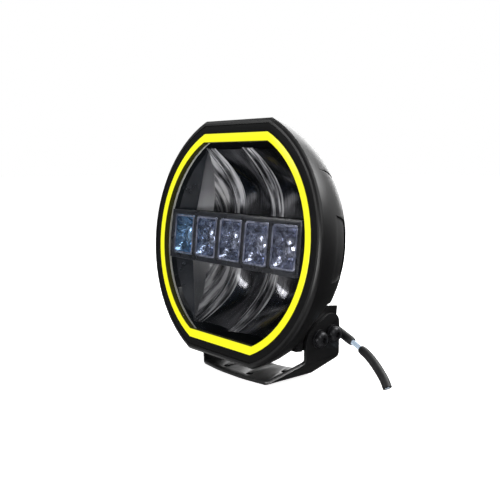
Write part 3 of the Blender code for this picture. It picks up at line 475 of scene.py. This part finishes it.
halo.visible_diffuse = False


# Front lens. Injection-moulded polycarbonate with a clear hard coat. It is thin and clear, so all
# it adds to what lies behind it is a faint shine, which grows where it is seen edge on.
clear_polycarbonate, tree, shader = new_material("hard_coated_polycarbonate")
shader.inputs["Base Color"].default_value = linear("#202428")
shader.inputs["Roughness"].default_value = 0.03
shader.inputs["IOR"].default_value = 1.58
rim_shine = add_node(tree, "ShaderNodeFresnel", {"IOR": 1.25})
veil = add_node(tree, "ShaderNodeMapRange", {"To Min": 0.02, "To Max": 0.22},
                {"Value": rim_shine.outputs["Fac"]})
tree.links.new(veil.outputs["Result"], shader.inputs["Alpha"])
front_lens = refined("front_lens", "clear_front_lens", 0.0004, "lamp", 28.0)
give(front_lens, clear_polycarbonate)


# Optic bar. A moulded gloss black frame with five windows, a crystal optic in each.
# Its face is smooth, with a haze that changes over 11 mm, and reflects the studio softly.
gloss_plastic, tree, shader = new_material("gloss_black_polycarbonate")
place = add_node(tree, "ShaderNodeTexCoord")
haze = add_node(tree, "ShaderNodeTexNoise", {"Scale": 90.0, "Detail": 3.0},
                {"Vector": place.outputs["Object"]})
shade = add_node(tree, "ShaderNodeValToRGB", links={"Fac": haze.outputs["Fac"]})
set_stops(shade, ((0.3, "#17181C"), (0.8, "#22242A")))
rub = add_node(tree, "ShaderNodeMapRange", {"To Min": 0.22, "To Max": 0.36},
               {"Value": haze.outputs["Fac"]})
tree.links.new(shade.outputs["Color"], shader.inputs["Base Color"])
tree.links.new(rub.outputs["Result"], shader.inputs["Roughness"])
bar_frame = refined("optic_bar_frame", "five_window_frame", 0.0005, "lamp",
                    28.0)
give(bar_frame, gloss_plastic)

# The lamp's own frame: x to the right, y back from the ring's face, z up from the bar's middle
PIVOT = Vector((0.0, 0.0140, 0.0408))
LAMP_TILT = math.radians(5.95)
PIVOT_BACK, PIVOT_DROP = 0.0502, 0.076608
lamp_place = (Matrix.Translation(PIVOT) @ Matrix.Rotation(-LAMP_TILT, 4, "X")
              @ Matrix.Translation((0.0, -PIVOT_BACK, PIVOT_DROP)))


def lamp_piece(name, verts, faces, material, replaced=(), angle=30.0, shell=0.0):
    """A piece given in the lamp's own frame, put in its place, with a wall if shell is given."""
    mesh = bpy.data.meshes.new(name)
    mesh.from_pydata(verts, [], faces)
    piece = bpy.data.objects.new(name, mesh)
    bpy.context.scene.collection.objects.link(piece)
    mesh.transform(lamp_place)
    if shell:
        wall = piece.modifiers.new("wall", "SOLIDIFY")
        wall.thickness = shell
        wall.offset = -1.0
        deselect_all()
        bpy.context.view_layer.objects.active = piece
        piece.select_set(True)
        bpy.ops.object.modifier_apply(modifier="wall")
    finish_mesh(piece, angle)
    give(piece, material)
    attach(piece, "lamp")
    for node_name in replaced:
        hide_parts(node_name)
    return piece


# Crystal optics. Five moulded acrylic blocks, each a fluted cup from a rectangular mouth to a
# round foot, with a lens dome in its middle and a polished lip round its mouth. Their facets
# break up what they show. Their colour is a painted reflection, bluer at the bar's left end and
# violet-grey towards its right. A facet is about 2.4 mm across, and the swirls behind the facets
# about 7 mm.
CELL_PITCH = 0.0345
CELL_HALF = (0.0149, 0.0181)
CELL_FRONT = 0.0040
CUP_DEPTH = 0.0150
CUP_FOOT = 0.0040
CUP_SIDES = 64
CUP_RINGS = 14
FLUTE_SHARE = 0.08
DOME_RADIUS = 0.0098
DOME_TIP = 0.0004
DOME_STRETCH = 1.12
DOME_SINK, DOME_RISE = 0.0105, 0.0070
DOME_SIDES, DOME_RINGS = 40, 8
LIP_STEPS = ((0.0, -0.0002), (0.0004, -0.0008), (0.0011, -0.0008), (0.0013, 0.0002))
CRYSTAL_WALL = 0.0004
crystal, tree, shader = new_material("crystal_acrylic")
place = add_node(tree, "ShaderNodeTexCoord")
along = add_node(tree, "ShaderNodeSeparateXYZ", links={"Vector": place.outputs["Object"]})
# Painted reflection: the colour shifts from blue at the bar's left end to violet-grey at its right
across_bar = add_node(tree, "ShaderNodeMapRange", {"From Min": -0.085, "From Max": 0.085},
                      {"Value": along.outputs["X"]})
painted_reflection_tint = add_node(tree, "ShaderNodeValToRGB", links={"Fac": across_bar.outputs["Result"]})
set_stops(painted_reflection_tint, ((0.0, "#8AB2DA"), (0.17, "#8EB0D6"), (0.24, "#98A2BC"), (1.0, "#A0A4B8")))
facets = add_node(tree, "ShaderNodeTexVoronoi", {"Scale": 420.0, "Randomness": 0.8},
                  {"Vector": place.outputs["Object"]})
crease = add_node(tree, "ShaderNodeBump", {"Strength": 0.35, "Distance": 0.0004},
                  {"Height": facets.outputs["Distance"]})
swirl = add_node(tree, "ShaderNodeTexNoise", {"Scale": 150.0, "Detail": 3.0, "Distortion": 1.5},
                 {"Vector": place.outputs["Object"]})
depth_tone = add_node(tree, "ShaderNodeMapRange",
                      {"From Min": 0.38, "From Max": 0.66, "To Min": 0.35, "To Max": 1.4},
                      {"Value": swirl.outputs["Fac"]})
toned = add_node(tree, "ShaderNodeVectorMath", {"operation": "SCALE"},
                 {0: painted_reflection_tint.outputs["Color"], "Scale": depth_tone.outputs["Result"]})
tree.links.new(toned.outputs["Vector"], shader.inputs["Base Color"])
tree.links.new(crease.outputs["Normal"], shader.inputs["Normal"])
shader.inputs["Metallic"].default_value = 0.8
shader.inputs["Roughness"].default_value = 0.2
shader.inputs["Coat Weight"].default_value = 0.6
shader.inputs["Coat Roughness"].default_value = 0.03

# The same acrylic where a lip is cut and polished: a pale edge with a little of the blue left
cut_acrylic, tree, shader = new_material("polished_acrylic_edge")
place = add_node(tree, "ShaderNodeTexCoord")
edge = add_node(tree, "ShaderNodeTexNoise", {"Scale": 160.0, "Detail": 2.0},
                {"Vector": place.outputs["Object"]})
shade = add_node(tree, "ShaderNodeValToRGB", links={"Fac": edge.outputs["Fac"]})
set_stops(shade, ((0.35, "#5E6478"), (0.7, "#A6A9BC")))
tree.links.new(shade.outputs["Color"], shader.inputs["Base Color"])
shader.inputs["Metallic"].default_value = 0.5
shader.inputs["Roughness"].default_value = 0.2


def superellipse(half_x, half_z, power, sides, flute=0.0):
    """A ring of points, from an ellipse (power 2) to a rectangle (a high power), with flutes."""
    ring = []
    for k in range(sides):
        turn = 2 * math.pi * (k + 0.5) / sides
        c, s = math.cos(turn), math.sin(turn)
        reach = (abs(c) ** power + abs(s) ** power) ** (-1 / power) * (1 - flute * (k % 4 > 1))
        ring.append((half_x * reach * c, half_z * reach * s))
    return ring


def ring_surface(rings):
    """Vertices and faces of a skin over rings of points, the last one closed by a cap."""
    verts = [point for ring in rings for point in ring]
    sides = len(rings[0])
    faces = []
    for i in range(len(rings) - 1):
        for k in range(sides):
            a, b = i * sides + k, i * sides + (k + 1) % sides
            faces.append((a, b, b + sides, a + sides))
    faces.append(tuple(range(len(verts) - sides, len(verts))))
    return verts, faces


for number in range(1, 6):
    middle = (number - 3) * CELL_PITCH
    rings = []
    for i in range(CUP_RINGS + 1):
        share = i / CUP_RINGS
        half_x = CELL_HALF[0] + (CUP_FOOT - CELL_HALF[0]) * share
        half_z = CELL_HALF[1] + (CUP_FOOT - CELL_HALF[1]) * share
        depth = CELL_FRONT + CUP_DEPTH * (1 - (1 - share) ** 2) ** 0.75
        power = 2.0 + 14.0 * (1 - share) ** 2.2
        flute = FLUTE_SHARE * min(share * 3.0, 1.0)
        rings.append([(middle + x, depth, z)
                      for x, z in superellipse(half_x, half_z, power, CUP_SIDES, flute)])
    verts, faces = ring_surface(rings)
    lamp_piece(f"crystal_cup_{number}", verts, faces, crystal,
               [f"optic_lens_{number}"], 30.0, CRYSTAL_WALL)
    rings = []
    for i in range(DOME_RINGS + 1):
        share = i / DOME_RINGS
        turn = share * math.pi / 2
        radius = DOME_RADIUS * math.cos(turn) + DOME_TIP
        depth = CELL_FRONT + DOME_SINK - DOME_RISE * math.sin(turn)
        rings.append([(middle + x, depth, z)
                      for x, z in superellipse(radius, radius * DOME_STRETCH, 2.0, DOME_SIDES)])
    verts, faces = ring_surface(rings)
    lamp_piece(f"crystal_dome_{number}", verts, faces, crystal, (), 40.0,
               CRYSTAL_WALL)
    verts, faces = [], []
    for inset, back in LIP_STEPS:
        verts += [(middle + x, CELL_FRONT + back, z) for x, z in
                  superellipse(CELL_HALF[0] - inset, CELL_HALF[1] - inset, 24.0, CUP_SIDES)]
    for ring in range(len(LIP_STEPS)):
        for k in range(CUP_SIDES):
            a, b = ring * CUP_SIDES + k, ring * CUP_SIDES + (k + 1) % CUP_SIDES
            c, d = (b + CUP_SIDES) % len(verts), (a + CUP_SIDES) % len(verts)
            faces.append((a, b, c, d))
    lamp_piece(f"crystal_lip_{number}", verts, faces, cut_acrylic, (), 30.0)


# Emitters and boards. Yellow phosphor squares on white solder mask, mostly hidden by the optics.
# The mask is matt and slightly uneven over 3 mm, as the copper under it shows through.
solder_mask, tree, shader = new_material("white_solder_mask")
place = add_node(tree, "ShaderNodeTexCoord")
weave = add_node(tree, "ShaderNodeTexNoise", {"Scale": 300.0, "Detail": 2.0},
                 {"Vector": place.outputs["Object"]})
shade = add_node(tree, "ShaderNodeValToRGB", links={"Fac": weave.outputs["Fac"]})
set_stops(shade, ((0.3, "#C9C9C0"), (0.8, "#E0E0D8")))
tree.links.new(shade.outputs["Color"], shader.inputs["Base Color"])
shader.inputs["Roughness"].default_value = 0.5

# Silicone filled with phosphor powder: matt yellow, its grain drawn 0.7 mm wide so that it shows
phosphor, tree, shader = new_material("led_phosphor")
place = add_node(tree, "ShaderNodeTexCoord")
speck = add_node(tree, "ShaderNodeTexNoise", {"Scale": 1500.0}, {"Vector": place.outputs["Object"]})
shade = add_node(tree, "ShaderNodeValToRGB", links={"Fac": speck.outputs["Fac"]})
set_stops(shade, ((0.3, "#D8C040"), (0.8, "#F0DC70")))
tree.links.new(shade.outputs["Color"], shader.inputs["Base Color"])
shader.inputs["Roughness"].default_value = 0.45
for name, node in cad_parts.items():
    if name.endswith("_board"):
        give(node, solder_mask)
    elif "_led_" in name:
        give(node, phosphor)

# Aluminium bar, milled bright: the cutter's waves lie half a millimetre apart
milled, tree, shader = new_material("milled_aluminium")
place = add_node(tree, "ShaderNodeTexCoord")
cutter = add_node(tree, "ShaderNodeTexWave", {"Scale": 600.0, "Distortion": 1.0},
                  {"Vector": place.outputs["Object"]})
rub = add_node(tree, "ShaderNodeMapRange", {"To Min": 0.3, "To Max": 0.5},
               {"Value": cutter.outputs["Fac"]})
shader.inputs["Base Color"].default_value = linear("#9A9A9C")
shader.inputs["Metallic"].default_value = 1.0
tree.links.new(rub.outputs["Result"], shader.inputs["Roughness"])
give(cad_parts["heat_bar"], milled)


# Reflectors. One moulding above the bar and one below, vacuum metallised. Each has two bowls of
# dark chrome between three ribs that sweep back to the bar, and a fan panel at each end. The ribs
# and the fans' inner parts have a satin face, and the fans' outer parts a frosted one.
RIBS = (-0.0530, 0.0, 0.0530)
RIB_TOP_HALF, RIB_FOOT_HALF = 0.0006, 0.0042
RIB_STAND = 0.0028
MIRROR_FOOT, MIRROR_TOP = 0.0236, 0.0815
FOOT_DEPTH, TOP_DEPTH = 0.0570, 0.0135
HOLLOW_ENDS, HOLLOW_MORE = 0.0008, 0.0080
FAN_WIDTH, FAN_TIP_WIDTH = 0.0215, 0.0004
FAN_FOOT_DEPTH = 0.0240
ROWS, BOWL_COLUMNS, FAN_COLUMNS = 40, 30, 12
SATIN_BOWL_COLUMNS, SATIN_FAN_COLUMNS = 4, 7
RIB_EDGE_SPARE = 0.0002
SURROUND_RADIUS, SURROUND_DEPTH = 0.0945, 0.0125
SURROUND_LEAST = 0.0005
SURROUND_ROWS = 20
MIRROR_WALL = 0.0008
BAR_MIDDLE_HEIGHT = 0.1185

# Chrome under a smoked lacquer, polished: dark mirrors with faint streaks, 1.4 by 14 mm
dark_chrome, tree, shader = new_material("dark_vacuum_chrome")
place = add_node(tree, "ShaderNodeTexCoord")
stretch = add_node(tree, "ShaderNodeMapping", links={"Vector": place.outputs["Object"]})
stretch.inputs["Scale"].default_value = (1.0, 0.10, 0.10)
streak = add_node(tree, "ShaderNodeTexNoise", {"Scale": 700.0, "Detail": 3.0},
                  {"Vector": stretch.outputs["Vector"]})
rub = add_node(tree, "ShaderNodeMapRange", {"To Min": 0.10, "To Max": 0.22},
               {"Value": streak.outputs["Fac"]})
drawn = add_node(tree, "ShaderNodeBump", {"Strength": 0.10, "Distance": 0.0003},
                 {"Height": streak.outputs["Fac"]})
shade = add_node(tree, "ShaderNodeValToRGB", links={"Fac": streak.outputs["Fac"]})
set_stops(shade, ((0.3, "#58585C"), (0.75, "#8A8A8E")))
tree.links.new(shade.outputs["Color"], shader.inputs["Base Color"])
tree.links.new(rub.outputs["Result"], shader.inputs["Roughness"])
tree.links.new(drawn.outputs["Normal"], shader.inputs["Normal"])
shader.inputs["Metallic"].default_value = 1.0

# Chrome over a satin texture: soft pale streaks, 2.4 by 40 mm, and painted shade below the bar
satin_chrome, tree, shader = new_material("satin_vacuum_chrome")
place = add_node(tree, "ShaderNodeTexCoord")
stretch = add_node(tree, "ShaderNodeMapping", links={"Vector": place.outputs["Object"]})
stretch.inputs["Scale"].default_value = (1.0, 0.06, 0.06)
drag = add_node(tree, "ShaderNodeTexNoise", {"Scale": 420.0, "Detail": 3.0},
                {"Vector": stretch.outputs["Vector"]})
shade = add_node(tree, "ShaderNodeValToRGB", links={"Fac": drag.outputs["Fac"]})
set_stops(shade, ((0.36, "#343437"), (0.48, "#8E8E92"), (0.6, "#F6F6FA")))
height = add_node(tree, "ShaderNodeSeparateXYZ", links={"Vector": place.outputs["Object"]})
# Painted shade: below the bar the colour is darkened to half
painted_shade_below_bar = add_node(tree, "ShaderNodeMapRange",
                     {"From Min": 0.10, "From Max": 0.14, "To Min": 0.5, "To Max": 1.0},
                     {"Value": height.outputs["Z"]})
toned = add_node(tree, "ShaderNodeVectorMath", {"operation": "SCALE"},
                 {0: shade.outputs["Color"], "Scale": painted_shade_below_bar.outputs["Result"]})
tree.links.new(toned.outputs["Vector"], shader.inputs["Base Color"])
shader.inputs["Metallic"].default_value = 0.45
shader.inputs["Roughness"].default_value = 0.24

# Chrome over a frosted texture, with a painted reflection of the bar, pale beside it and fading
# away from it, and painted shade below it
frosted_chrome, tree, shader = new_material("frosted_vacuum_chrome")
place = add_node(tree, "ShaderNodeTexCoord")
height = add_node(tree, "ShaderNodeSeparateXYZ", links={"Vector": place.outputs["Object"]})
from_bar = add_node(tree, "ShaderNodeMath", {"operation": "SUBTRACT"}, {0: height.outputs["Z"]})
from_bar.inputs[1].default_value = BAR_MIDDLE_HEIGHT
away = add_node(tree, "ShaderNodeMath", {"operation": "ABSOLUTE"}, {0: from_bar.outputs["Value"]})
# Painted reflection: the colour is palest beside the bar and darkens away from it
painted_bar_glow = add_node(tree, "ShaderNodeMapRange", {"From Min": 0.022, "From Max": 0.075},
                {"Value": away.outputs["Value"]})
shade = add_node(tree, "ShaderNodeValToRGB", links={"Fac": painted_bar_glow.outputs["Result"]})
set_stops(shade, ((0.0, "#D4D4D8"), (0.45, "#8E8E92"), (1.0, "#5A5A5E")))
# Painted shade: below the bar the colour is darkened to about a third
painted_shade_below_bar = add_node(tree, "ShaderNodeMapRange",
                     {"From Min": 0.10, "From Max": 0.14, "To Min": 0.35, "To Max": 1.0},
                     {"Value": height.outputs["Z"]})
toned = add_node(tree, "ShaderNodeVectorMath", {"operation": "SCALE"},
                 {0: shade.outputs["Color"], "Scale": painted_shade_below_bar.outputs["Result"]})
tree.links.new(toned.outputs["Vector"], shader.inputs["Base Color"])
shader.inputs["Metallic"].default_value = 0.35
shader.inputs["Roughness"].default_value = 0.32


def rib_depth(share):
    """How far back a rib's edge is, from the bar (0) to the top (1)."""
    return FOOT_DEPTH + (TOP_DEPTH - FOOT_DEPTH) * share * share


def rib_half(share):
    """Half the width of a rib there."""
    return RIB_FOOT_HALF + (RIB_TOP_HALF - RIB_FOOT_HALF) * share


def mirror_height(share):
    """How far from the bar's middle that place is."""
    return MIRROR_FOOT + (MIRROR_TOP - MIRROR_FOOT) * share


def fan_width(share):
    """How wide a fan panel is there."""
    return FAN_WIDTH * (1 - share)


def fan_depth(share):
    """How far back a fan panel's outer edge is there."""
    return FAN_FOOT_DEPTH + (TOP_DEPTH - FAN_FOOT_DEPTH) * share


def mirror_columns(share):
    """The (x, depth) points of one row of the mirror, from left to right."""
    row = []
    half = rib_half(share)
    edge = rib_depth(share)
    hollow = HOLLOW_ENDS + HOLLOW_MORE * math.sin(math.radians(135) * share) ** 1.5
    outer = fan_width(share) + FAN_TIP_WIDTH
    fan_edge = fan_depth(share)
    for i in range(FAN_COLUMNS):
        part = i / FAN_COLUMNS
        row.append((RIBS[0] - half - outer * (1 - part), fan_edge + (edge - fan_edge) * part))
    for number, rib in enumerate(RIBS):
        row += [(rib - half, edge), (rib - half, edge - RIB_STAND)]
        row += [(rib + half * i / 3, edge - RIB_STAND) for i in range(-2, 3)]
        row += [(rib + half, edge - RIB_STAND), (rib + half, edge)]
        if number < len(RIBS) - 1:
            left, right = rib + half, RIBS[number + 1] - half
            for i in range(1, BOWL_COLUMNS):
                part = 2 * i / BOWL_COLUMNS - 1
                row.append(((left + right) / 2 + part * (right - left) / 2,
                            edge + hollow * (1 - part * part)))
    for i in range(1, FAN_COLUMNS + 1):
        part = i / FAN_COLUMNS
        row.append((RIBS[2] + half + outer * part, edge + (fan_edge - edge) * part))
    return row


for name, up in (("upper", 1), ("lower", -1)):
    verts, faces = [], []
    for r in range(ROWS + 1):
        share = r / ROWS
        row = mirror_columns(share)
        verts += [(x, depth, up * mirror_height(share)) for x, depth in row]
    columns = len(row)
    for r in range(ROWS):
        for c in range(columns - 1):
            a = r * columns + c
            faces.append((a, a + 1, a + columns + 1, a + columns))
    mirror = lamp_piece(f"{name}_mirror", verts, faces, dark_chrome,
                        [f"{name}_reflector"], 30.0, MIRROR_WALL)
    mirror.data.materials.append(satin_chrome)
    mirror.data.materials.append(frosted_chrome)
    # Which metal each face has: satin on the ribs, beside them and on the fans' inner parts
    to_lamp = lamp_place.inverted()
    for face in mirror.data.polygons:
        middle = to_lamp @ face.center
        share = min(max((abs(middle.z) - MIRROR_FOOT) / (MIRROR_TOP - MIRROR_FOOT), 0.0), 1.0)
        half = rib_half(share)
        past_rib = abs(middle.x) - RIBS[2] - half
        bowl_width = RIBS[1] - RIBS[0] - 2 * half
        satin_side = bowl_width * SATIN_BOWL_COLUMNS / BOWL_COLUMNS
        satin_fan = (fan_width(share) + FAN_TIP_WIDTH) * SATIN_FAN_COLUMNS / FAN_COLUMNS
        beside_rib = any(-half - RIB_EDGE_SPARE < middle.x - rib < half + satin_side
                         for rib in RIBS[:2])
        beside_rib = beside_rib or abs(middle.x - RIBS[2]) < half + RIB_EDGE_SPARE
        if beside_rib or 0.0 < past_rib < satin_fan:
            face.material_index = 1
        elif past_rib > 0.0:
            face.material_index = 2
    # Surround: the black moulding that closes the space between the mirror and the ring
    verts, faces = [], []
    for side in (-1, 1):
        start = len(verts)
        for r in range(SURROUND_ROWS + 1):
            share = r / SURROUND_ROWS
            height = mirror_height(share)
            inner = RIBS[2] + rib_half(share) + fan_width(share)
            outer = max(math.sqrt(SURROUND_RADIUS ** 2 - height ** 2), inner + SURROUND_LEAST)
            verts += [(side * inner, fan_depth(share), up * height),
                      (side * outer, SURROUND_DEPTH, up * height)]
        for r in range(SURROUND_ROWS):
            a = start + 2 * r
            faces.append((a, a + 1, a + 3, a + 2))
    lamp_piece(f"{name}_surround", verts, faces, gloss_plastic, (), 30.0,
               MIRROR_WALL)

# The mirrors would show little but the bar and its boards, so mirror rays pass these by
for node_name in ("five_window_frame", "heat_bar", "upper_led_board", "lower_led_board",
                  "main_led_board", "halo_led_board"):
    bpy.data.objects[node_name].visible_glossy = False
